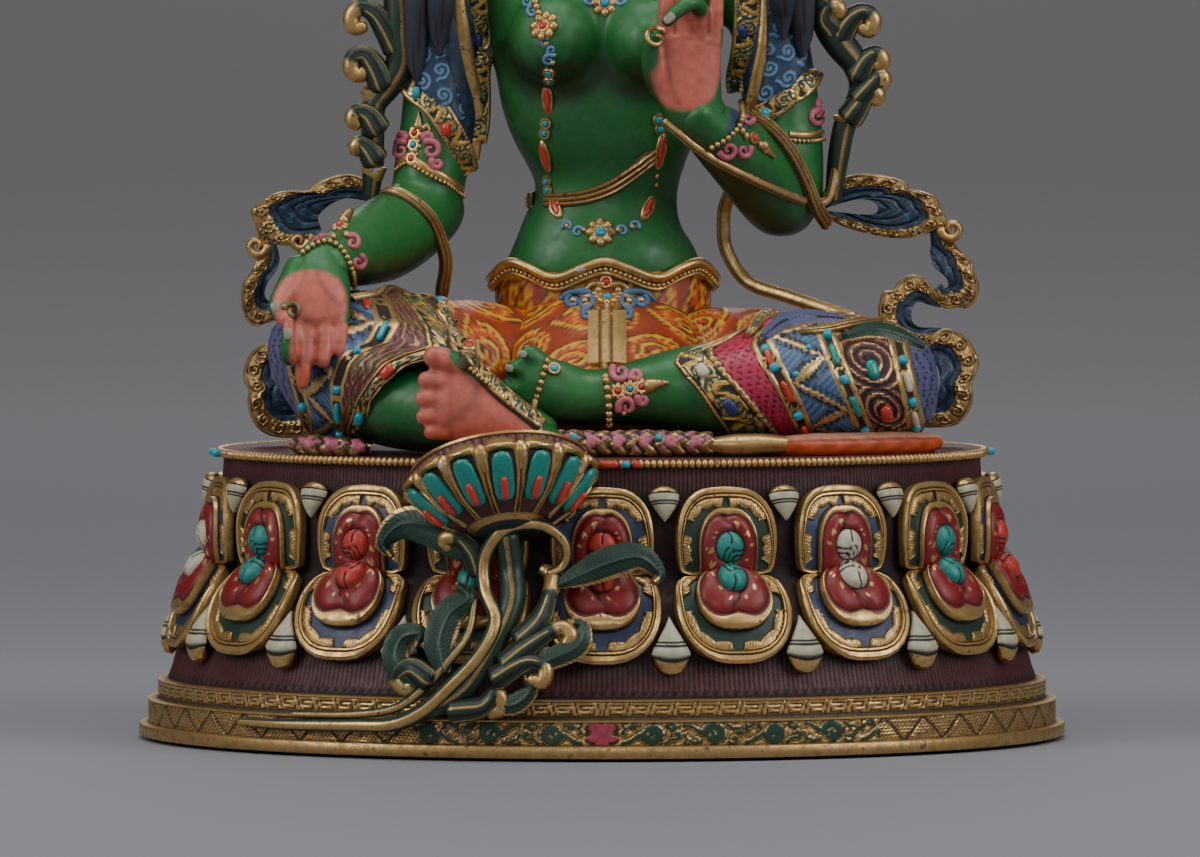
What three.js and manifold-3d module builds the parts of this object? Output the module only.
// Seated Tara on an oval double-lotus plinth: cast metal, painted and part gilded.
// Millimetres, +Z up, origin at the centre of the plinth's underside.
// The figure faces -Y and its own right side lies toward -X.
import * as THREE from 'three';
import { mergeVertices } from 'three/addons/utils/BufferGeometryUtils.js';
import Module from 'manifold-3d';

const wasm = await Module();
wasm.setup();

// Driving dimensions of the plinth
const plinthLength = 400;
const plinthDepth = 318;
const flangeHeight = 5.5;
const leafBandHeight = 10.5;
const keyBandHeight = 8.5;
const bandStep = 4;
const slopeHeight = 13.5;
const slopeStep = 5;
const slopeRun = 3.5;
const lowerRowHeight = 35;
const waistHeight = 3;
const upperRowHeight = 36;
const neckHeight = 9;
const rimHeight = 2.5;
const waistInset = 32;
const neckInset = 36.5;
const rimInset = 34;
const petalsInRow = 18;
const facesPerPetal = 2;

// Driving dimensions of the petals, their bosses and the buds between them
const upperPetal = { width: 47, footStand: 3, tipStand: 8, bossRadius: 14, bossRise: 5.5, bossShare: 0.41 };
const lowerPetal = { width: 52, footStand: 3, tipStand: 6.5, bossRadius: 15, bossRise: 6, bossShare: 0.3 };
const studShare = 0.5;
const bossTip = 1.25;
const petalRoot = 3;
const upperBud = { width: 14, rise: 4 };
const lowerBud = { width: 16, rise: 4 };
const budInset = 3;
const budBelly = 0.78;

// Driving dimensions of the figure and of the pieces beside it
const figureHeight = 456.5;
const drawnFigureHeight = 456.5;
const pieceGap = 0.4;
const scarfThickness = 7;
const scarfClearance = 0.9;
const stemY = 7;
const stemRadius = 4.6;
const shoulderLotusRadius = 24;
const shoulderLotusHeight = 30;
const shoulderPetals = 6;
const endRoundness = 0.45;
const bandRise = 2;
const wristStrandRadius = 2.4;
const waistStrandRadius = 1.9;
const necklaceRadius = 1.8;
const collarRadius = 2.6;
const rightForearmRibbonSize = { width: 8, thickness: 4 };
const leftForearmRibbonSize = { width: 7, thickness: 4 };

// Driving dimensions of the shawl over the upper arms, cut slanting from the armpit to the outer side
const shawlThickness = 3;
const shawlEdgeHeight = 141;
const shawlCutX = 70;
const rightShawlSlant = THREE.MathUtils.degToRad(45);
const leftShawlSlant = THREE.MathUtils.degToRad(-35);
const shawlStripSize = { width: 9, thickness: 4 };
const cutterSize = 600;

// Driving dimensions of the crown
const crownFoot = 362;
const crownCentreY = 12.5;
const crownClear = 1.2;
const crownBandHeight = 9;
const crownWall = 3.5;
const crownSides = 20;
const crownLeafHeight = 40;
const crownLeafWidth = 22;
const crownLeafLean = 0.12;
const sideLeafShare = 0.86;
const crownLeafTurns = [-76, -38, 0, 38, 76];
const rosetteRadius = 8;

// Thinning of joined skins: tolerances in turn, the smallest face kept and the cosine a face may turn
const joinSteps = [0.01, 0.1, 0.3, 1];
const finishSteps = [0.005, 0.03];
const sliverArea = 0.002;
const turnLimit = 0.3;

// Driving dimensions of the small lotus under the right foot
const footLotusRadius = 38.6;
const footLotusTilt = THREE.MathUtils.degToRad(25);
const footLotusRoll = THREE.MathUtils.degToRad(7);
const footLotusAt = { x: -43.2, beforeRim: 9.3, belowSeat: 2.6 };
const footLotusDepthShare = 0.86;
const footPetalFill = 0.94;
const drawnPlinthHeight = 123.5;
const footLotusSpacing = THREE.MathUtils.degToRad(25.7);
const footLotusSidePetals = 4;
const inlaidSidePetals = 3;
const inlayThickness = 1.6;
const coralBarThickness = 1.4;

// Worked-out heights of the plinth
const halfLength = plinthLength / 2;
const ovalInset = (plinthLength - plinthDepth) / 2;
const leafBandTop = flangeHeight + leafBandHeight;
const keyBandTop = leafBandTop + keyBandHeight;
const slopeTop = keyBandTop + slopeHeight;
const lowerRowTop = slopeTop + lowerRowHeight;
const upperRowFoot = lowerRowTop + waistHeight;
const upperRowTop = upperRowFoot + upperRowHeight;
const neckTop = upperRowTop + neckHeight;
const seatHeight = neckTop + rimHeight;
const slopeFootHalf = halfLength - 2 * bandStep - slopeStep;
const slopeTopHalf = slopeFootHalf - slopeRun;
const waistHalf = halfLength - waistInset;
const neckHalf = halfLength - neckInset;
const rimHalf = halfLength - rimInset;
const bodySides = petalsInRow * facesPerPetal;

// Worked-out sizes of the figure and of the pieces beside it
const scale = figureHeight / drawnFigureHeight;
const scarfY = stemY + stemRadius + scarfClearance + scarfThickness / 2;
const crownTop = crownFoot + crownBandHeight;
const footLotusDepth = footLotusRadius * footLotusDepthShare;
const footPetalAcross = footLotusRadius * footLotusSpacing * footPetalFill;

// Vectors and solids
const vec = (x, y, z) => new THREE.Vector3(x, y, z);
const front = vec(0, -1, 0);
const above = vec(0, 0, 1);
const mix = (from, to, share) => from + (to - from) * share;

// A closed skin through rings of equally many points, each ring counterclockwise seen from the last one.
function skin(rings, firstTip, lastTip) {
  const sides = rings[0].length;
  const points = rings.flat();
  const middle = (ring) => ring.reduce((sum, point) => sum.add(point), vec(0, 0, 0)).divideScalar(sides);
  points.push(firstTip ?? middle(rings[0]), lastTip ?? middle(rings.at(-1)));
  const first = points.length - 2;
  const last = points.length - 1;
  const faces = [];
  for (let i = 0; i < rings.length - 1; i += 1) {
    for (let j = 0; j < sides; j += 1) {
      const here = i * sides + j;
      const next = i * sides + (j + 1) % sides;
      faces.push(here, next, here + sides, next, next + sides, here + sides);
    }
  }
  const lastRing = (rings.length - 1) * sides;
  for (let j = 0; j < sides; j += 1) {
    const next = (j + 1) % sides;
    faces.push(first, next, j, last, lastRing + j, lastRing + next);
  }
  return asSolid(points, faces);
}

function asSolid(points, faces) {
  const vertProperties = new Float32Array(points.flatMap((point) => [point.x, point.y, point.z]));
  return new wasm.Manifold(new wasm.Mesh({ numProp: 3, vertProperties, triVerts: new Uint32Array(faces) }));
}

function fromGeometry(geometry) {
  geometry.deleteAttribute('normal');
  geometry.deleteAttribute('uv');
  const merged = mergeVertices(geometry, 1e-4);
  const vertProperties = new Float32Array(merged.attributes.position.array);
  const triVerts = new Uint32Array(merged.index.array);
  return new wasm.Manifold(new wasm.Mesh({ numProp: 3, vertProperties, triVerts }));
}

// Joined solids as one closed shell, with the slivers of the joins thinned out
function joined(solids) {
  const { points, faces } = cleaned(solids.reduce((whole, solid) => whole.add(solid)), joinSteps);
  return asSolid(points, faces);
}

function cleaned(solid, steps) {
  const mesh = solid.getMesh();
  const points = [];
  for (let i = 0; i < mesh.vertProperties.length; i += 3) {
    points.push(vec(...mesh.vertProperties.slice(i, i + 3)));
  }
  const faces = [];
  for (let i = 0; i < mesh.triVerts.length; i += 3) {
    faces.push([...mesh.triVerts.slice(i, i + 3)]);
  }
  const kept = thinned(points, outerShell(points, faces), steps);
  const used = [...new Set(kept.flat())];
  const renumber = new Map(used.map((old, i) => [old, i]));
  return { points: used.map((i) => points[i]), faces: kept.flat().map((i) => renumber.get(i)) };
}

function toGeometry(solid) {
  const { points, faces } = cleaned(solid, finishSteps);
  const geometry = new THREE.BufferGeometry();
  const coordinates = points.flatMap((point) => point.toArray());
  geometry.setAttribute('position', new THREE.Float32BufferAttribute(coordinates, 3));
  geometry.setIndex(faces);
  geometry.computeVertexNormals();
  return geometry;
}

// The faces of the largest closed shell: small hollows enclosed by joined pieces are filled.
function outerShell(points, faces) {
  const parent = points.map((_, i) => i);
  const root = (i) => {
    let top = i;
    while (parent[top] !== top) {
      top = parent[top];
    }
    parent[i] = top;
    return top;
  };
  for (const [a, b, c] of faces) {
    parent[root(a)] = root(b);
    parent[root(b)] = root(c);
  }
  const volumes = new Map();
  for (const face of faces) {
    const [a, b, c] = face.map((i) => points[i]);
    const shell = root(face[0]);
    volumes.set(shell, (volumes.get(shell) ?? 0) + a.dot(b.clone().cross(c)));
  }
  const largest = [...volumes].reduce((best, item) => (item[1] > best[1] ? item : best))[0];
  return faces.filter((face) => root(face[0]) === largest);
}

// Joins leave many slivers. A point that lies in the planes around a neighbour, within a tolerance,
// takes that neighbour's place, as long as the skin stays closed and no face turns over.
function thinned(points, faces, steps) {
  const around = new Map();
  faces.forEach((face, index) => face.forEach((i) => {
    around.set(i, (around.get(i) ?? new Set()).add(index));
  }));
  const alive = faces.map((face) => [...face]);
  const drift = new Map();
  const cornersAt = (i) => [...around.get(i)].flatMap((index) => alive[index]);
  const neighbours = (i) => new Set(cornersAt(i).filter((j) => j !== i));
  const normalOf = ([a, b, c]) => points[b].clone().sub(points[a]).cross(points[c].clone().sub(points[a]));
  const costOf = (gone, kept) => {
    const gap = points[kept].clone().sub(points[gone]);
    let cost = 0;
    for (const index of around.get(gone)) {
      const face = alive[index];
      const normal = normalOf(face);
      const area = normal.length();
      if (area > sliverArea) {
        cost = Math.max(cost, Math.abs(normal.dot(gap)) / area);
      }
      if (!face.includes(kept)) {
        const moved = normalOf(face.map((i) => (i === gone ? kept : i)));
        const turned = moved.dot(normal) < turnLimit * moved.length() * area;
        if (moved.length() < sliverArea || (area > sliverArea && turned)) {
          return Infinity;
        }
      }
    }
    return cost + (drift.get(gone) ?? 0);
  };
  for (const limit of steps) {
    for (const gone of [...around.keys()]) {
      const ring = neighbours(gone);
      let best = { cost: limit, kept: -1 };
      for (const kept of ring) {
        const shared = [...neighbours(kept)].filter((i) => ring.has(i)).length;
        const cost = shared === 2 ? costOf(gone, kept) : Infinity;
        best = cost < best.cost ? { cost, kept } : best;
      }
      if (best.kept >= 0) {
        for (const index of around.get(gone)) {
          const face = alive[index];
          if (face.includes(best.kept)) {
            face.forEach((i) => around.get(i).delete(index));
            alive[index] = null;
          } else {
            alive[index] = face.map((i) => (i === gone ? best.kept : i));
            around.get(best.kept).add(index);
          }
        }
        around.delete(gone);
        drift.set(best.kept, Math.max(drift.get(best.kept) ?? 0, best.cost));
      }
    }
  }
  return alive.filter((face) => face);
}

// A limb through stations [x, y, z, half width, half height], its rings square to its path.
function limb(stations, up = above, sides = 8, grow = 0) {
  const centres = stations.map(([x, y, z]) => vec(x, y, z));
  const rings = centres.map((centre, i) => {
    const before = centres[Math.max(i - 1, 0)];
    const after = centres[Math.min(i + 1, centres.length - 1)];
    const along = after.clone().sub(before).normalize();
    const rise = up.clone().addScaledVector(along, -up.dot(along)).normalize();
    const side = rise.clone().cross(along);
    const [, , , halfWidth, halfRise] = stations[i];
    return Array.from({ length: sides }, (_, j) => {
      const turn = 2 * Math.PI * (j + 0.5) / sides;
      return centre.clone()
        .addScaledVector(side, (halfWidth + grow) * Math.cos(turn))
        .addScaledVector(rise, (halfRise + grow) * Math.sin(turn));
    });
  });
  return skin(rings, endPoint(centres, stations, 0, 1, grow), endPoint(centres, stations, -1, -2, grow));
}

// The rounded end of a limb stands a little past its last ring.
function endPoint(centres, stations, end, inner, grow) {
  const outward = centres.at(end).clone().sub(centres.at(inner)).normalize();
  const roundness = endRoundness * Math.min(stations.at(end)[3], stations.at(end)[4]);
  return centres.at(end).clone().addScaledVector(outward, roundness + grow);
}

// A cord of one radius through points.
function cord(points, radius, sides = 5, up = front) {
  return limb(points.map(([x, y, z]) => [x, y, z, radius, radius]), up, sides);
}

// A flat ribbon through points, its width square to the given direction.
function ribbon(points, width, thickness, up = front) {
  return limb(points.map(([x, y, z]) => [x, y, z, width / 2, thickness / 2]), up, 6);
}

// Stations with a raised band let into them: full limb, up to the band, down from it.
function banded([x, y, z, wide, high], [dx, dy, dz], rise) {
  return [
    [x, y, z, wide, high],
    [x + dx * 0.1, y + dy * 0.1, z + dz * 0.1, wide + rise, high + rise],
    [x + dx * 0.9, y + dy * 0.9, z + dz * 0.9, wide + rise, high + rise],
    [x + dx, y + dy, z + dz, wide, high],
  ];
}

// Plinth
// The oval's angle at a share of its outline, measured from the front centre.
const outlineSteps = 720;
const outlineAngles = [];
const outlineShares = [];
const outlineHalf = halfLength - bandStep * 5;
let outlineTravel = 0;
for (let i = 0; i <= outlineSteps; i += 1) {
  const angle = 2 * Math.PI * i / outlineSteps;
  const middle = angle - Math.PI / outlineSteps;
  const pace = Math.hypot(outlineHalf * Math.cos(middle), (outlineHalf - ovalInset) * Math.sin(middle));
  outlineTravel += i === 0 ? 0 : pace * 2 * Math.PI / outlineSteps;
  outlineAngles.push(angle);
  outlineShares.push(outlineTravel);
}

function ovalAngle(share) {
  const whole = Math.floor(share);
  const travel = (share - whole) * outlineTravel;
  const i = Math.max(1, outlineShares.findIndex((value) => value >= travel));
  const part = (travel - outlineShares[i - 1]) / (outlineShares[i] - outlineShares[i - 1]);
  return mix(outlineAngles[i - 1], outlineAngles[i], part) + 2 * Math.PI * whole;
}

// The point of the plinth's oval with a given half length, at a share of the outline and a height.
function onOval(share, half, z) {
  const angle = ovalAngle(share);
  return vec(half * Math.sin(angle), -(half - ovalInset) * Math.cos(angle), z);
}

function ovalRing(half, z) {
  return Array.from({ length: bodySides }, (_, i) => onOval(i / bodySides, half, z));
}

function plinthBody() {
  const profile = [
    [halfLength, 0],
    [halfLength, flangeHeight],
    [halfLength - bandStep, flangeHeight],
    [halfLength - bandStep, leafBandTop],
    [halfLength - 2 * bandStep, leafBandTop],
    [halfLength - 2 * bandStep, keyBandTop],
    [slopeFootHalf, keyBandTop],
    [slopeTopHalf, slopeTop],
    [waistHalf, lowerRowTop],
    [waistHalf, upperRowFoot],
    [neckHalf, upperRowTop],
    [neckHalf, neckTop],
    [rimHalf, neckTop],
    [rimHalf, seatHeight],
  ];
  return skin(profile.map(([half, z]) => ovalRing(half, z)));
}

// The right half of a petal's outline as shares of its half width and height, from its root to its tip.
const petalOutline = [[0.72, 0], [1, 0.45], [0.66, 0.86], [0, 1]];

// One petal: root, edge, boss foot, stud and tip, wrapped on the oval. Its height may run downward.
function petal(index, size, foot, height, rootHalf, edgeHalf) {
  const across = size.width / outlineTravel;
  const left = petalOutline.slice(0, -1).reverse().map(([u, w]) => [-u, w]);
  const outline = [...petalOutline, ...left];
  const place = (u, w, half) => onOval(index / petalsInRow + u * across / 2, half, foot + w * height);
  const bossWide = 2 * size.bossRadius / size.width;
  const bossHigh = size.bossRadius / Math.abs(height);
  const round = (radius) => outline.map((_, i) => {
    const turn = 2 * Math.PI * (i + 0.75) / outline.length - Math.PI / 2;
    return [radius * bossWide * Math.cos(turn), size.bossShare + radius * bossHigh * Math.sin(turn)];
  });
  const rings = [
    outline.map(([u, w]) => place(u * 0.96, w, rootHalf(w) - petalRoot)),
    outline.map(([u, w]) => place(u, w, edgeHalf(w))),
    round(1).map(([u, w]) => place(u, w, edgeHalf(w) - 0.5)),
    round(studShare).map(([u, w]) => place(u, w, edgeHalf(w) + size.bossRise)),
  ];
  const tip = place(0, size.bossShare, edgeHalf(size.bossShare) + size.bossRise * bossTip);
  const ordered = height < 0 ? rings.map((ring) => ring.reverse()) : rings;
  return skin(ordered, place(0, size.bossShare, rootHalf(size.bossShare) - petalRoot), tip);
}

// A bud between two petals: pointed at its foot, widest near its top.
function bud(index, size, foot, height, half) {
  const share = (index + 0.5) / petalsInRow;
  const wide = size.width / 2 / outlineTravel;
  const belly = foot + height * budBelly;
  const ring = [
    onOval(share + wide, half(budBelly), belly),
    onOval(share, half(budBelly) + size.rise, belly),
    onOval(share - wide, half(budBelly), belly),
    onOval(share, half(budBelly) - size.rise, belly),
  ];
  const low = onOval(share, half(0.1), foot + height * 0.1);
  const high = onOval(share, half(1), foot + height);
  return skin([height < 0 ? ring.reverse() : ring], low, high);
}

function upperEdge(share) {
  return mix(waistHalf + upperPetal.footStand, neckHalf + upperPetal.tipStand, share * (2 - share));
}

function lowerEdge(share) {
  return mix(waistHalf + lowerPetal.footStand, slopeTopHalf + lowerPetal.tipStand, share * (2 - share));
}

function plinth() {
  const pieces = [plinthBody()];
  const upperRoot = (share) => mix(waistHalf, neckHalf, share);
  const lowerRoot = (share) => mix(waistHalf, slopeTopHalf, share);
  for (let i = 0; i < petalsInRow; i += 1) {
    pieces.push(petal(i, upperPetal, upperRowFoot, upperRowHeight, upperRoot, upperEdge));
    pieces.push(petal(i, lowerPetal, lowerRowTop, -lowerRowHeight, lowerRoot, lowerEdge));
    pieces.push(bud(i, upperBud, upperRowFoot, upperRowHeight, (share) => upperEdge(share) - budInset));
    pieces.push(bud(i, lowerBud, lowerRowTop, -lowerRowHeight, (share) => lowerEdge(share) - budInset));
  }
  return joined(pieces);
}

// Figure
// Its points are drawn in millimetres for a figure of the drawn height, above the seat.
const bodyStations = [
  [0, 24, 1, 58, 44], [0, 26, 24, 60, 46], [0.5, 20, 50, 46, 36], [0.5, 19, 68, 46, 32],
  ...banded([0.5, 19, 71, 45, 31], [0, 0, 8], 2.6),
  [0.5, 19, 93, 35.5, 26], [1.5, 19, 107, 31, 23.5], [2, 19, 119, 33.5, 24],
  [1.5, 18, 134, 41, 26.5], [0.5, 17, 152, 45, 28], [0, 16, 178, 49, 28], [0, 17, 203, 58, 27],
  [0, 19, 230, 70, 24], [0, 21, 245, 62, 19], [0, 22, 257, 38, 16], [0, 20, 268, 17, 14],
];
const neckStations = [[0, 18, 262, 15, 14], [0, 14, 305, 16, 17]];
const headStations = [
  [0, -3, 288, 11, 10], [0, 2, 296, 22, 22], [0, 6, 310, 29, 31], [0, 9, 330, 32.5, 36.5],
  [0, 11, 350, 33, 38.5], [0, 13, 372, 31, 36], [0, 15, 385, 21, 27],
];
const topKnotStations = [
  [0, 19, 380, 24, 24], [0, 22, 396, 17, 17], [0, 22, 412, 20, 20], [0, 22, 430, 16.5, 16.5],
  [0, 22, 444, 7, 7], [0, 22, 454, 4, 4],
];
const backHairStations = [[0, 36, 366, 22, 14], [0, 42, 320, 24, 15], [0, 43, 262, 26, 8]];
const earStations = [[33, 12, 352, 3, 6], [36, 11, 334, 3, 6], [37, 8, 306, 3, 5]];
const earringStations = [[30, 4, 298, 10, 10], [39, 3, 298, 10, 10]];
const noseStations = [[0, -29, 338, 3, 3], [0, -32, 322, 5, 4]];
const lockStations = [
  [30, 30, 320, 9, 9], [37, 30, 285, 10, 9], [54, 27, 262, 10, 8], [72, 8, 240, 7, 7], [76, -3, 205, 6.5, 5],
  [75, -3, 172, 3.5, 3],
];

// The same stations on the other side of the figure
function mirrored(stations) {
  return stations.map(([x, ...rest]) => [-x, ...rest]);
}

function head() {
  const pieces = [
    limb(neckStations, front),
    limb(headStations, front, 10),
    limb(topKnotStations, front),
    limb(backHairStations, front, 6),
    limb(noseStations, front, 4),
  ];
  for (const turn of [(stations) => stations, mirrored]) {
    pieces.push(limb(turn(earStations), front, 4));
    pieces.push(limb(turn(earringStations), above, 6));
    pieces.push(limb(turn(lockStations), front, 6));
  }
  return pieces;
}

const rightArmStations = [
  [-60, 20, 238, 18, 17], [-68, 18, 220, 17, 18], [-69.5, 17, 190, 15.5, 17], [-69.5, 16, 164, 15.5, 16.5],
  ...banded([-70, 15, 143, 16.5, 16.5], [-0.8, -0.5, -7], bandRise),
  [-75, 11, 110, 15.5, 16], [-77, 10, 99, 12, 13],
];
const rightForearmStations = [
  [-72, 14, 103, 12, 14], [-80, 4, 97, 15.5, 15.5], [-92, -15, 91, 15.5, 16],
  ...banded([-103, -37, 87, 13.5, 13.5], [-4, -7.5, -2], bandRise),
  [-113, -56, 82, 11.5, 10.5], [-118, -66, 79, 12, 8.5],
];
const rightPalmStations = [[-118, -66, 80, 12.5, 8], [-122, -75, 66, 15, 5.5], [-121, -77, 52, 14.5, 4.5]];
const rightFingers = [
  { root: [-129, -77, 56], bend: [-135, -84, 55], tip: [-132.4, -85, 43], radius: 3.3 },
  { root: [-124.5, -77, 55], bend: [-125.5, -79, 42], tip: [-126.6, -78, 31], radius: 3.6 },
  { root: [-117.5, -77, 55], bend: [-117, -80, 46], tip: [-117.6, -80, 40], radius: 3.5 },
  { root: [-111, -76, 57], bend: [-110.5, -78, 49], tip: [-111, -78, 44], radius: 3.1 },
  { root: [-131, -72, 76], bend: [-138, -79, 70], tip: [-138.5, -83, 64], radius: 3.6 },
];
const leftArmStations = [
  [60, 20, 238, 18, 17], [68, 18, 220, 17, 18], [71, 17, 190, 15.5, 17], [75, 15, 164, 15.5, 16.5],
  ...banded([78.5, 14, 143, 16, 16.5], [0.8, -0.5, -7], bandRise),
  [80, 11, 112, 15, 16], [82, 10, 101, 12, 13],
];
const leftForearmStations = [
  [84, 13, 104, 11, 13], [78, 5, 106, 15, 16], [68, -10, 117, 15, 17],
  ...banded([52, -30, 131, 13, 14], [-5, -5, 5.5], bandRise),
  [43, -38, 140, 11.5, 10.5], [38, -41, 146, 12, 8.5],
];
const leftPalmStations = [[37.5, -41, 145, 12, 8], [35.5, -43, 162, 15, 6], [36, -43.5, 184, 14.5, 4.5]];
const leftFingers = [
  { root: [27.5, -45, 182], bend: [28, -45, 198], tip: [28.5, -44, 211], radius: 3.5 },
  { root: [34.5, -44, 182], bend: [36, -44, 200], tip: [37, -43, 215], radius: 3.6 },
  { root: [46, -43, 180], bend: [48, -43, 194], tip: [49, -42, 205], radius: 3.1 },
  { root: [40.5, -44, 182], bend: [40, -53, 190], tip: [27.5, -55, 183], radius: 3.3 },
  { root: [25, -44, 156], bend: [19.5, -49, 165], tip: [21.5, -52, 174], radius: 3.7 },
];

function finger({ root, bend, tip, radius }, up) {
  const end = radius * 0.8;
  return limb([[...root, radius, radius], [...bend, radius, radius], [...tip, end, end]], up, 5);
}

function arms() {
  return [
    limb(rightArmStations, front),
    limb(rightForearmStations, above),
    limb(rightPalmStations, front),
    ...rightFingers.map((item) => finger(item, vec(0.2, -1, 0.3))),
    limb(leftArmStations, front),
    limb(leftForearmStations, above),
    limb(leftPalmStations, front),
    ...leftFingers.map((item) => finger(item, vec(0.2, -0.4, 1))),
  ];
}

const rightThighStations = [
  [-20, 24, 31, 28, 28], [-55, -2, 34, 29, 29.5], [-88, -36, 36, 28, 30.5], [-108, -54, 36, 28, 31],
  [-124, -67, 37, 22, 26],
];
const rightShinStations = [
  [-116, -58, 30, 24, 27], ...banded([-99, -69, 25, 21.5, 23], [8, -5, -1.5], 1.5), [-70, -86, 20, 17, 18.5],
  [-46, -91, 15.5, 13, 13.5], [-30, -95, 12, 10, 11],
];
const rightFootStations = [
  [-19, -106, 7, 6, 5], [-28, -108, 9, 9, 7.5], [-38, -109, 13, 9, 11], [-50, -110, 18.5, 8, 15],
  [-65, -111, 25, 6, 17],
];
const rightToes = [
  [[-60, -111, 37], [-70, -112, 41.5], 5.2], [[-64, -111, 31], [-73, -112, 33], 4.4],
  [[-65, -111, 24], [-75.5, -112, 24.8], 4.1], [[-65, -111, 17], [-75, -112, 17], 4],
  [[-64, -111, 11], [-73, -112, 10.5], 3.8],
];
const leftThighStations = [
  [20, 24, 31, 28, 28], [55, 6, 31, 28, 28.5], [90, -14, 30, 27, 28], [114, -26, 29, 25, 28],
  [130, -33, 28, 16, 22],
];
const leftShinStations = [
  [124, -34, 27, 22, 26], [100, -54, 27, 23, 26], [62, -67, 27, 20, 23],
  ...banded([42, -70, 28, 17, 19.5], [-9, -1.5, 0], 1.5),
  [20, -73, 27, 13, 14], ...banded([5, -75, 25, 11, 12], [-4, -0.3, 0], bandRise), [-10, -76, 24.5, 10.5, 12],
];
const leftFootStations = [[-8, -76, 24, 10, 12], [-20, -79, 28, 8, 13.5], [-31, -81, 30, 5.5, 14]];
const leftToes = [
  [[-27, -80, 39], [-32, -82, 43], 4.8], [[-32, -81, 33], [-38, -82, 36.5], 4.2],
  [[-33, -81, 26], [-41.5, -82, 29.5], 4], [[-33, -81, 20], [-40, -82, 21], 3.8],
];
const lapStations = [[0, 10, 50, 45, 26], [0, -22, 36, 42, 26], [0, -52, 20, 38, 17]];

function legs() {
  const toe = ([root, tip, radius]) => limb([[...root, radius, radius], [...tip, radius, radius]], front, 5);
  return [
    limb(rightThighStations, above, 10),
    limb(rightShinStations, above, 10),
    limb(rightFootStations, above),
    ...rightToes.map(toe),
    limb(leftThighStations, above, 10),
    limb(leftShinStations, above, 10),
    limb(leftFootStations, above),
    ...leftToes.map(toe),
    limb(lapStations, above),
  ];
}

// Dress and jewellery that stand out from the body
const seatCloth = { x: 8, y: -4, halfLength: 138, halfDepth: 86, height: 8 };
const hemLumps = [[-117, -76, 4, 14, 5], [44, -85, 7, 40, 6.5], [112, -76, 5, 36, 6]];
const sashPoints = [
  [-30, 11, 107], [-18, -1, 107], [0, -5.5, 109], [13, -5, 117], [24, -2, 127], [36, 2, 139],
];
const necklacePoints = [
  [-30, -5, 214], [-25, -28, 183], [-23.5, -16, 160], [-24, -5, 138], [-23.5, 1, 116], [-15, -4, 99],
  [0, -8, 94], [15, -4, 98], [23.5, 2, 113], [25.5, -4.5, 138], [24, -16, 160], [26, -28, 183], [30, -5, 214],
];
const collarPoints = [[-44, 8, 246], [-24, -6, 222], [0, -11, 203], [24, -6, 222], [44, 8, 246]];
const beltClaspStations = [[-14, -13, 66, 5, 5], [2, -17, 65, 8, 8], [18, -13, 66, 5, 5]];
const apronPoints = [[2, -14, 63], [2, -34, 56], [2, -60, 33]];
const rightForearmRibbon = [
  [-108, -20, 98], [-102, -24, 106.5], [-93, -22, 111], [-84, -16, 109], [-76, -14, 101], [-70, -16, 88],
  [-73, -22, 74], [-88, -30, 67],
];
const leftForearmRibbon = [[66, -8, 143], [77, -10, 134], [84, -8, 122], [90, -2, 108], [97, 4, 97]];
const wristStrand = [[22, -36, 146], [42, -30, 130], [60, -22, 119], [78, -10, 107], [96, 2, 97]];
const waistStrand = [[57, -2, 116], [52, 12, 102], [55, 14, 86], [66, 10, 69], [90, -6, 61], [108, -20, 54]];
const shawlStrip = [[-64, 0, 212], [-61, 0, 180], [-57, 3, 148], [-53, 6, 117]];
const breastStations = [[20.5, 4, 177, 20, 21], [20.5, -14, 174, 18, 19], [20.5, -26, 171, 10, 11]];

function dress() {
  const cloth = fromGeometry(new THREE.CylinderGeometry(1, 1, 1, 16)
    .rotateX(Math.PI / 2)
    .scale(seatCloth.halfLength, seatCloth.halfDepth, seatCloth.height)
    .translate(seatCloth.x, seatCloth.y, seatCloth.height / 2));
  const lumps = hemLumps.map(([x, y, z, halfLength, halfHeight]) => limb([
    [x - halfLength, y + 4, z, 5, halfHeight * 0.7], [x, y, z, 7, halfHeight],
    [x + halfLength, y + 4, z, 5, halfHeight * 0.7],
  ], above, 6));
  return [
    cloth,
    ...lumps,
    limb(breastStations, above),
    limb(mirrored(breastStations), above),
    limb(beltClaspStations, above, 6),
    ribbon(apronPoints, 16, 3, vec(0, -0.6, 0.8)),
    ribbon(sashPoints, 8, 4, vec(0, -0.2, 1)),
    ribbon(shawlStrip, shawlStripSize.width, shawlStripSize.thickness),
    cord(necklacePoints, necklaceRadius, 4),
    cord(collarPoints, collarRadius, 4),
    ...strands(0),
  ];
}

// Ribbons over the forearms and strands under the wrist and round the waist, which may be grown by a gap
function strands(grow) {
  const right = rightForearmRibbonSize;
  const left = leftForearmRibbonSize;
  return [
    ribbon(rightForearmRibbon, right.width + 2 * grow, right.thickness + 2 * grow, vec(0.3, -0.3, 1)),
    ribbon(leftForearmRibbon, left.width + 2 * grow, left.thickness + 2 * grow, vec(1, -0.3, 0.3)),
    cord(wristStrand, wristStrandRadius + grow, 4),
    cord(waistStrand, waistStrandRadius + grow, 4),
  ];
}

// A shawl's sleeve over an upper arm, cut off below a slanting line
function shawlSleeve(stations, slant, grow) {
  const below = fromGeometry(new THREE.BoxGeometry(cutterSize, cutterSize, cutterSize)
    .translate(0, 0, -cutterSize / 2)
    .rotateY(slant)
    .translate(Math.sign(stations[0][0]) * shawlCutX, 0, shawlEdgeHeight - grow));
  return limb(stations.slice(0, 8), front, 8, shawlThickness + grow).subtract(below);
}

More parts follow.
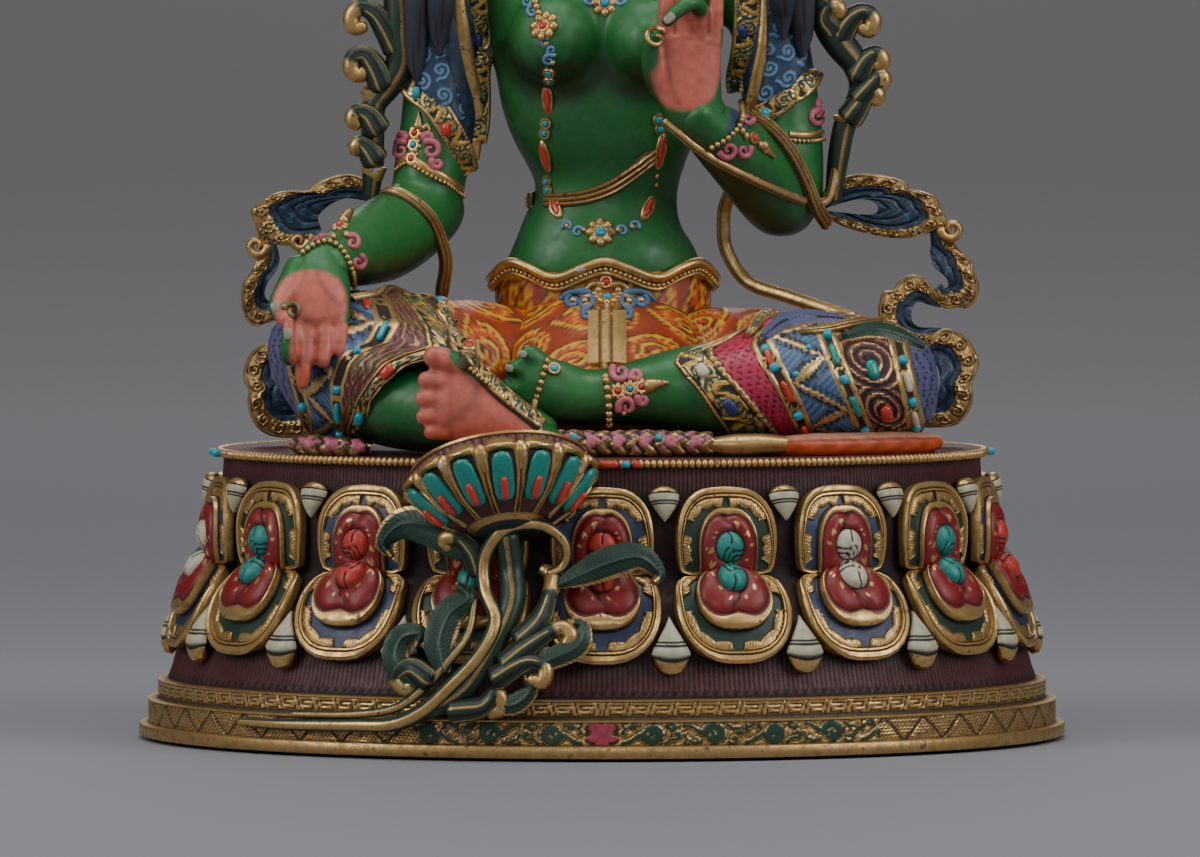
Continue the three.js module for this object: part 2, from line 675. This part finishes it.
function figure() {
  const whole = joined([
    limb(bodyStations, front, 10),
    ...head(),
    ...arms(),
    ...legs(),
    ...dress(),
    shawlSleeve(rightArmStations, rightShawlSlant, 0),
    shawlSleeve(leftArmStations, leftShawlSlant, 0),
  ]);
  const belowSeat = fromGeometry(new THREE.BoxGeometry(cutterSize, cutterSize, cutterSize)
    .translate(0, 0, -cutterSize / 2));
  return whole.subtract(belowSeat);
}

// Puts a solid of the figure in the part's frame, at the figure's scale, a gap above the seat.
function seated(solid) {
  return solid.scale([scale, scale, scale]).translate([0, 0, seatHeight + pieceGap]);
}

// What the scarves and stems leave clear: the arms, sleeves, locks and legs, grown by the gap.
const armClearancePieces = [
  limb(rightArmStations, front, 8, pieceGap),
  limb(leftArmStations, front, 8, pieceGap),
  limb(rightForearmStations, above, 8, pieceGap),
  limb(leftForearmStations, above, 8, pieceGap),
  limb(lockStations, front, 6, pieceGap),
  limb(mirrored(lockStations), front, 6, pieceGap),
  limb(leftThighStations, above, 10, pieceGap),
  ...strands(pieceGap),
  shawlSleeve(rightArmStations, rightShawlSlant, pieceGap),
  shawlSleeve(leftArmStations, leftShawlSlant, pieceGap),
];

function clearOfArms(solids) {
  return armClearancePieces.reduce((rest, piece) => rest.subtract(piece), joined(solids));
}

// Celestial scarf, drawn as ribbons in the upright plane behind the arms: [x, z, half width]
const rightScarfLobe = [[-84, 100, 12], [-108, 103, 15], [-126, 98, 13.5], [-140, 98.5, 11], [-149, 98.5, 6]];
const rightScarfFall = [
  [-136, 88, 4], [-146, 81, 5], [-151, 70, 6], [-149, 59, 6], [-143, 50, 6], [-145, 39, 8], [-146, 27, 8.5],
  [-141, 15, 8], [-134, 9, 6],
];
const leftScarfLobe = [[90, 98, 7], [108, 105, 12], [122, 104, 13.5], [138, 100, 10.5], [147, 98, 6.5]];
const leftScarfFall = [
  [142, 91, 4], [153, 81, 5], [158, 69, 5], [150, 62, 4.5], [142, 66, 4.5], [134, 70, 4.5], [124, 62, 5],
  [126, 50, 6], [138, 44, 6], [150, 40, 8], [155, 29, 8.5], [150, 17, 8], [144, 12, 6],
];

function scarf(lobe, fall) {
  const strip = (stations) => limb(
    stations.map(([x, z, half]) => [x, scarfY, z, half / Math.cos(Math.PI / 6), scarfThickness / 2]),
    front,
    6,
  );
  return seated(clearOfArms([strip(lobe), strip(fall)]));
}

// Lotus: a cup of petals that open outward, its mouth at height 0 and its foot below.
const lotusPetalOutline = [
  [0.45, 0.25, -0.82], [0.78, 0.5, -0.62], [0.97, 0.42, -0.3], [1.05, 0, -0.12],
  [0.97, -0.42, -0.3], [0.78, -0.5, -0.62], [0.45, -0.25, -0.82],
];

// The back ring, front ring and front middle of one petal, as shares of the cup's radius and depth
function petalFaces(turn, radius, depth, across) {
  const place = (out, side, height) => vec(
    out * Math.sin(turn) + side * Math.cos(turn),
    -out * Math.cos(turn) + side * Math.sin(turn),
    height,
  );
  const ring = (shift, width) => lotusPetalOutline.map(([out, side, height]) => place(
    radius * (out + shift),
    across * side * width,
    depth * (height - shift),
  ));
  return {
    back: ring(-0.1, 1),
    face: ring(0.03, 0.86),
    middle: place(radius * 0.87, 0, depth * -0.52),
    outward: place(0.7, 0, -0.7),
  };
}

function lotusPetal(turn, radius, depth, across) {
  const { back, face, middle } = petalFaces(turn, radius, depth, across);
  return skin([back, face], undefined, middle);
}

function lotusCup(radius, depth, sides) {
  const profile = [[0.3, -1], [0.44, -0.86], [0.86, -0.34], [0.99, -0.2], [1, 0]];
  const rings = profile.map(([share, height]) => Array.from({ length: sides }, (_, i) => {
    const turn = 2 * Math.PI * i / sides;
    return vec(radius * share * Math.cos(turn), radius * share * Math.sin(turn), depth * height);
  }));
  return skin(rings);
}

const rightStemPoints = [
  [-101, 6, 112], [-98.5, 7, 122], [-97, 7, 145], [-92.5, 6, 160], [-88.5, 5, 174], [-88, 4, 193],
  [-92, 6, 220], [-97, 9, 246],
];
const leftStemPoints = [
  [99, 6, 112], [102, 7, 127], [108, 7, 145], [110, 7, 158], [105, 6, 171], [97, 4, 185], [95, 4, 200],
  [95, 6, 222], [98, 9, 246],
];
const rightStemCurls = [
  [[-97, 7, 128], [-105, 8, 132], [-108, 8, 126]], [[-94, 6, 150], [-104, 8, 153], [-105, 8, 160]],
  [[-89, 5, 172], [-100, 7, 168], [-107, 8, 172]], [[-88, 4, 190], [-98, 6, 186], [-102, 7, 178]],
];
const leftStemCurls = [
  [[103, 7, 130], [110, 8, 128], [112, 8, 122]], [[109, 7, 150], [117, 8, 150], [119, 8, 157]],
  [[106, 6, 168], [115, 7, 166], [119, 8, 170]], [[97, 4, 186], [106, 6, 184], [112, 7, 180]],
];

function lotusStem(points, curls) {
  const [x, y, z] = points.at(-1);
  const lift = (solid) => solid.translate([x, y, z + shoulderLotusHeight]);
  const cup = [lotusCup(shoulderLotusRadius * 0.8, shoulderLotusHeight, 8)];
  for (let i = 0; i < shoulderPetals; i += 1) {
    const turn = 2 * Math.PI * i / shoulderPetals;
    cup.push(lotusPetal(turn, shoulderLotusRadius, shoulderLotusHeight, shoulderLotusRadius));
  }
  const twigs = curls.map((curl) => cord(curl, stemRadius * 0.5, 4));
  return seated(clearOfArms([cord(points, stemRadius, 5), ...twigs, ...cup.map(lift)]));
}

// Crown: a band round the hairline with five leaves and a rosette above each ear
const [, , , headWide, headDeep] = headStations[4];

function crownBand() {
  const wall = (grow, foot, top) => skin([foot, top].map((z) => Array.from({ length: crownSides }, (_, i) => {
    const turn = 2 * Math.PI * i / crownSides;
    return vec((headWide + grow) * Math.cos(turn), crownCentreY + (headDeep + grow) * Math.sin(turn), z);
  })));
  const inside = wall(crownClear, crownFoot - crownBandHeight, crownTop + crownBandHeight);
  return wall(crownClear + crownWall, crownFoot, crownTop).subtract(inside);
}

function crownLeaf(degrees) {
  const high = crownLeafHeight * (degrees === 0 ? 1 : sideLeafShare);
  const half = crownLeafWidth / 2;
  const shape = new THREE.Shape();
  shape.moveTo(-half * 0.8, 0);
  shape.lineTo(half * 0.8, 0);
  shape.lineTo(half, high * 0.35);
  shape.lineTo(half * 0.6, high * 0.7);
  shape.lineTo(0, high);
  shape.lineTo(-half * 0.6, high * 0.7);
  shape.lineTo(-half, high * 0.35);
  const turn = THREE.MathUtils.degToRad(degrees);
  const reach = crownClear + crownWall;
  return fromGeometry(new THREE.ExtrudeGeometry(shape, { depth: crownWall, bevelEnabled: false })
    .rotateX(Math.PI / 2 + crownLeafLean)
    .rotateZ(turn)
    .translate(
      (headWide + reach) * Math.sin(turn),
      crownCentreY - (headDeep + reach) * Math.cos(turn),
      crownTop - crownWall,
    ));
}

function crown() {
  const height = crownFoot + crownBandHeight / 2;
  const rosette = (side) => limb([
    [side * (headWide + crownClear), crownCentreY, height, rosetteRadius, rosetteRadius],
    [side * (headWide + crownWall + 5), crownCentreY, height, rosetteRadius, rosetteRadius],
  ], above, 8);
  return seated(joined([crownBand(), ...crownLeafTurns.map(crownLeaf), rosette(-1), rosette(1)]));
}

// Lotus under the right foot, leaning back on the plinth, with its stems and leaves
function plinthFront(x, z, lift) {
  const half = z > lowerRowTop + waistHeight / 2 ? upperFace(z) : lowerFace(z);
  return vec(x, -(half - ovalInset) * Math.sqrt(1 - (x / half) ** 2) - lift, z);
}

function upperFace(z) {
  const row = upperEdge((z - upperRowFoot) / upperRowHeight) + upperPetal.bossRise * bossTip;
  return z > upperRowTop ? rimHalf : row;
}

function lowerFace(z) {
  const row = lowerEdge((lowerRowTop - z) / lowerRowHeight) + lowerPetal.bossRise * bossTip;
  return z < slopeTop ? halfLength - bandStep : row;
}

// Stems on the plinth's front: [x, z, lift off the plinth, radius]
const footStem = [
  [-40, 92, 13, 5], [-38, 78, 12, 5], [-38, 64, 8, 5], [-48, 43, 7, 4.5], [-60, 27, 7, 4], [-84, 15, 6, 3.4],
];
const footVine = [
  [-16, 80, 8, 2], [-17, 91, 12, 2.4], [-29, 98, 15, 2.6], [-41, 95, 17, 2.8], [-49, 83, 15, 2.8],
  [-48, 71, 12, 2.8], [-44, 58, 12, 2.8], [-51, 44, 11, 2.8], [-63, 31, 10, 2.8], [-75, 20, 9, 2.8],
  [-88, 14, 7, 2.6], [-104, 13, 6, 2.6], [-118, 12.5, 5, 2.4], [-136, 12, 5, 2.2], [-153, 12, 4.5, 1.8],
];
const footCurls = [
  [[-47, 60, 8, 2], [-58, 66, 9, 2.2], [-66, 78, 8, 2], [-60, 84, 8, 1.6]],
  [[-49, 50, 7, 2], [-62, 52, 8, 2.4], [-70, 63, 7, 2], [-66, 70, 7, 1.6]],
  [[-58, 36, 7, 2], [-72, 40, 7, 2.2], [-80, 36, 6, 1.8], [-76, 30, 6, 1.6]],
  [[-42, 60, 7, 2], [-32, 58, 8, 2.2], [-26, 50, 7, 1.8], [-31, 45, 7, 1.6]],
  [[-50, 42, 7, 2], [-40, 40, 7, 2.2], [-33, 34, 7, 1.8], [-40, 29, 6, 1.6]],
  [[-62, 30, 7, 2], [-54, 26, 7, 2], [-54, 18, 7, 1.8], [-62, 13, 6, 1.6]],
];
const footLeaves = [
  [[-48, 82, 10, 3, 2], [-60, 90, 9, 7, 2], [-74, 96, 9, 7, 2], [-88, 93, 9, 4, 1.6]],
  [[-34, 66, 9, 2, 1.8], [-20, 73, 9, 6, 2], [-4, 78, 9, 6.5, 2], [11, 80, 9, 3, 1.6]],
];

// A strand follows the foot across the plinth and the plinth's height upward.
function footStrand(stations, sides = 4) {
  return limb(stations.map(([x, z, lift, half, thick = half]) => {
    const point = plinthFront(x * scale, z * seatHeight / drawnPlinthHeight, lift);
    return [point.x, point.y, point.z, half, thick];
  }), front, sides);
}

function onFootLotus(solid) {
  const { x, y } = plinthFront(footLotusAt.x * scale, seatHeight, footLotusAt.beforeRim);
  return solid
    .rotate([0, THREE.MathUtils.radToDeg(-footLotusRoll), 0])
    .rotate([THREE.MathUtils.radToDeg(-footLotusTilt), 0, 0])
    .translate([x, y, seatHeight - footLotusAt.belowSeat]);
}

function footLotusFlower() {
  const pieces = [lotusCup(footLotusRadius, footLotusDepth, 18)];
  for (let i = -footLotusSidePetals; i <= footLotusSidePetals; i += 1) {
    pieces.push(lotusPetal(i * footLotusSpacing, footLotusRadius, footLotusDepth, footPetalAcross));
  }
  return pieces.map(onFootLotus);
}

// The plinth's envelope without its relief, grown by the gap
function plinthEnvelope() {
  const profile = [
    [halfLength, -1], [halfLength, flangeHeight + pieceGap], [halfLength - bandStep, flangeHeight + pieceGap],
    [halfLength - bandStep, keyBandTop],
  ];
  for (const share of [1, 0.6, 0.3, 0]) {
    profile.push([lowerEdge(share) + lowerPetal.bossRise * bossTip, lowerRowTop - share * lowerRowHeight]);
  }
  for (const share of [0, 0.3, 0.6, 1]) {
    profile.push([upperEdge(share) + upperPetal.bossRise * bossTip, upperRowFoot + share * upperRowHeight]);
  }
  profile.push([rimHalf, upperRowTop + pieceGap], [rimHalf, seatHeight + pieceGap]);
  return skin(profile.map(([half, z]) => ovalRing(half + pieceGap, z)));
}

function footLotus() {
  const foot = [
    limb(rightFootStations, above, 8, pieceGap),
    limb(rightShinStations, above, 10, pieceGap),
    ...rightToes.map(([root, tip, radius]) => limb(
      [root, tip].map((point) => [...point, radius + pieceGap, radius + pieceGap]),
      front,
      5,
    )),
  ].map(seated);
  const strands = [
    footStrand(footStem, 6),
    footStrand(footVine, 5),
    ...footCurls.map((stations) => footStrand(stations)),
    ...footLeaves.map((stations) => footStrand(stations)),
  ];
  const whole = joined([...footLotusFlower(), ...strands]);
  return [plinthEnvelope(), ...foot].reduce((rest, solid) => rest.subtract(solid), whole);
}

// A turquoise plate on a petal's face, parallel to it
function inlay(turn) {
  const { face, middle, outward } = petalFaces(turn, footLotusRadius, footLotusDepth, footPetalAcross);
  const toward = (point, share, lift) => middle.clone().lerp(point, share).addScaledVector(outward, lift);
  const level = (share, lift) => face.map((point) => toward(point, share, lift));
  const lifted = (lift) => middle.clone().addScaledVector(outward, lift);
  const rings = [level(0.78, pieceGap), level(0.7, pieceGap + inlayThickness)];
  return onFootLotus(skin(rings, lifted(pieceGap), lifted(pieceGap + inlayThickness)));
}

// A coral bar on the lower half of a turquoise plate
function coralBar(turn) {
  const { face, middle, outward } = petalFaces(turn, footLotusRadius, footLotusDepth, footPetalAcross);
  const foot = face[0].clone().add(face.at(-1)).multiplyScalar(0.5);
  const side = face[0].clone().sub(face.at(-1)).normalize().multiplyScalar(coralBarThickness);
  const low = 2 * pieceGap + inlayThickness;
  const place = ([down, across], lift) => middle.clone()
    .lerp(foot, down)
    .addScaledVector(side, across)
    .addScaledVector(outward, lift);
  const ring = (lift) => [[0.62, 1], [0.04, 1], [0.04, -1], [0.62, -1]].map((corner) => place(corner, lift));
  return onFootLotus(skin([ring(low), ring(low + coralBarThickness)]));
}

const group = new THREE.Group();
function addPart(name, solid, color, roughness, metalness) {
  const material = new THREE.MeshStandardMaterial({ color, roughness, metalness });
  const mesh = new THREE.Mesh(toGeometry(solid), material);
  mesh.name = name;
  group.add(mesh);
}

addPart('plinth', plinth(), 0x4a2523, 0.5, 0.3);
addPart('figure', seated(figure()), 0x2f7a3f, 0.5, 0.1);
addPart('crown', crown(), 0xb8924f, 0.35, 1);
addPart('scarf_right', scarf(rightScarfLobe, rightScarfFall), 0x2f4a66, 0.5, 0.1);
addPart('scarf_left', scarf(leftScarfLobe, leftScarfFall), 0x2f4a66, 0.5, 0.1);
addPart('lotus_stem_right', lotusStem(rightStemPoints, rightStemCurls), 0x1f4a35, 0.5, 0.2);
addPart('lotus_stem_left', lotusStem(leftStemPoints, leftStemCurls), 0x1f4a35, 0.5, 0.2);
addPart('foot_lotus', footLotus(), 0x1f4a35, 0.5, 0.2);
for (let i = -inlaidSidePetals; i <= inlaidSidePetals; i += 1) {
  const number = i + inlaidSidePetals + 1;
  addPart(`turquoise_inlay_${number}`, inlay(i * footLotusSpacing), 0x0c8f84, 0.3, 0);
  addPart(`coral_bar_${number}`, coralBar(i * footLotusSpacing), 0xc53a2c, 0.3, 0);
}

export default group;
